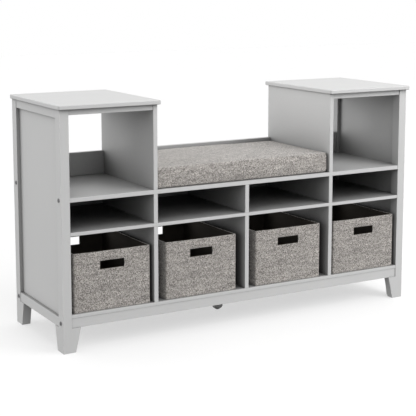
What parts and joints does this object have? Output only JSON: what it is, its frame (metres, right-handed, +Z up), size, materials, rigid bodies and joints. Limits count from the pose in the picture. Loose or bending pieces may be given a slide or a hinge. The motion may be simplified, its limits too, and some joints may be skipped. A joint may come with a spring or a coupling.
{
  "type": "entryway bench",
  "caption": "Painted entryway bench: open cubby towers at both ends, a cushioned seat between them, a row of low cubbies and a row of slide-out fabric bins with hand holes.",
  "frame": {"origin": "on the floor, under the middle of the bench", "axes": "+X along the bench, to the right of someone facing it; +Y from the front to the back; +Z up"},
  "size_m": [1.2, 0.372, 0.69],
  "materials": {
    "grey_paint": "satin light grey paint on board",
    "bolt_steel": "dull grey zinc",
    "grey_plastic": "matt moulded grey",
    "bin_linen": "heathered grey linen weave",
    "bin_lining": "dark brown non-woven lining",
    "cushion_linen": "heathered grey linen weave"
  },
  "bodies": {
    "bench_body": {"front_left_leg": "grey_paint", "rear_left_leg": "grey_paint", "left_side_top_rail": "grey_paint", "left_side_bottom_rail": "grey_paint", "left_side_panel": "grey_paint", "left_top_board": "grey_paint", "left_tower_upright": "grey_paint", "left_front_top_rail": "grey_paint", "left_rear_top_rail": "grey_paint", "left_back_rail": "grey_paint", "front_right_leg": "grey_paint", "rear_right_leg": "grey_paint", "right_side_top_rail": "grey_paint", "right_side_bottom_rail": "grey_paint", "right_side_panel": "grey_paint", "right_top_board": "grey_paint", "right_tower_upright": "grey_paint", "right_front_top_rail": "grey_paint", "right_rear_top_rail": "grey_paint", "right_back_rail": "grey_paint", "seat_shelf": "grey_paint", "middle_shelf": "grey_paint", "bottom_shelf": "grey_paint", "left_upper_divider": "grey_paint", "left_lower_divider": "grey_paint", "centre_upper_divider": "grey_paint", "centre_lower_divider": "grey_paint", "right_upper_divider": "grey_paint", "right_lower_divider": "grey_paint", "front_apron": "grey_paint", "rear_apron": "grey_paint", "seat_back_rail": "grey_paint", "middle_back_panel": "grey_paint", "front_left_seat_bolt": "bolt_steel", "front_left_low_bolt": "bolt_steel", "rear_left_seat_bolt": "bolt_steel", "rear_left_low_bolt": "bolt_steel", "front_right_seat_bolt": "bolt_steel", "front_right_low_bolt": "bolt_steel", "rear_right_seat_bolt": "bolt_steel", "rear_right_low_bolt": "bolt_steel", "centre_support_foot": "grey_plastic"},
    "bin_body_1": {"bin_1": "bin_linen", "bin_1_base_board": "bin_lining"},
    "bin_body_2": {"bin_2": "bin_linen", "bin_2_base_board": "bin_lining"},
    "bin_body_3": {"bin_3": "bin_linen", "bin_3_base_board": "bin_lining"},
    "bin_body_4": {"bin_4": "bin_linen", "bin_4_base_board": "bin_lining"},
    "cushion_body": {"seat_cushion": "cushion_linen"}
  },
  "joints": [
    {"name": "bin_1_slide", "type": "slide", "parent": "bench_body", "child": "bin_body_1", "axis": [0, -1, 0], "range_m": [0, 0.34]},
    {"name": "bin_2_slide", "type": "slide", "parent": "bench_body", "child": "bin_body_2", "axis": [0, -1, 0], "range_m": [0, 0.34]},
    {"name": "bin_3_slide", "type": "slide", "parent": "bench_body", "child": "bin_body_3", "axis": [0, -1, 0], "range_m": [0, 0.34]},
    {"name": "bin_4_slide", "type": "slide", "parent": "bench_body", "child": "bin_body_4", "axis": [0, -1, 0], "range_m": [0, 0.34]},
    {"name": "cushion_slide", "type": "slide", "parent": "bench_body", "child": "cushion_body", "axis": [0, -1, 0], "range_m": [0, 0.345]}
  ]
}
